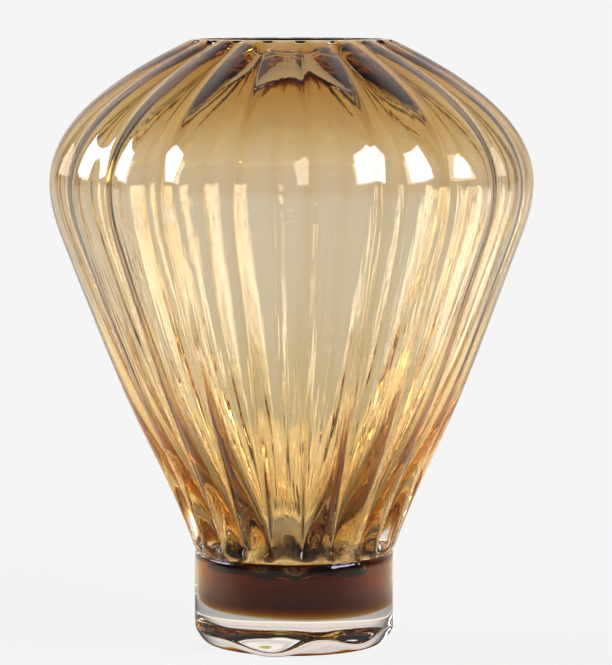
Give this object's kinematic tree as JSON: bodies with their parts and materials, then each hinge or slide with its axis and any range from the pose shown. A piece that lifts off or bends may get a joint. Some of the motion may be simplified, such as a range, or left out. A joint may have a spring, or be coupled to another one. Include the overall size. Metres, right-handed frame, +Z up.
{
  "type": "glass vase",
  "caption": "Cased glass vase with a ribbed balloon-shaped body, a small rounded mouth, an amber inner layer and a solid clear round foot.",
  "frame": {"origin": "centre of the foot on the resting plane", "axes": "+Z up along the vase's axis, -Y towards the front, +X to the viewer's right"},
  "size_m": [0.1992, 0.1992, 0.25],
  "materials": {
    "clear_glass": "fire polished",
    "amber_glass": "fire polished"
  },
  "bodies": {
    "root": {"clear_casing": "clear_glass", "amber_lining": "amber_glass"}
  },
  "joints": []
}
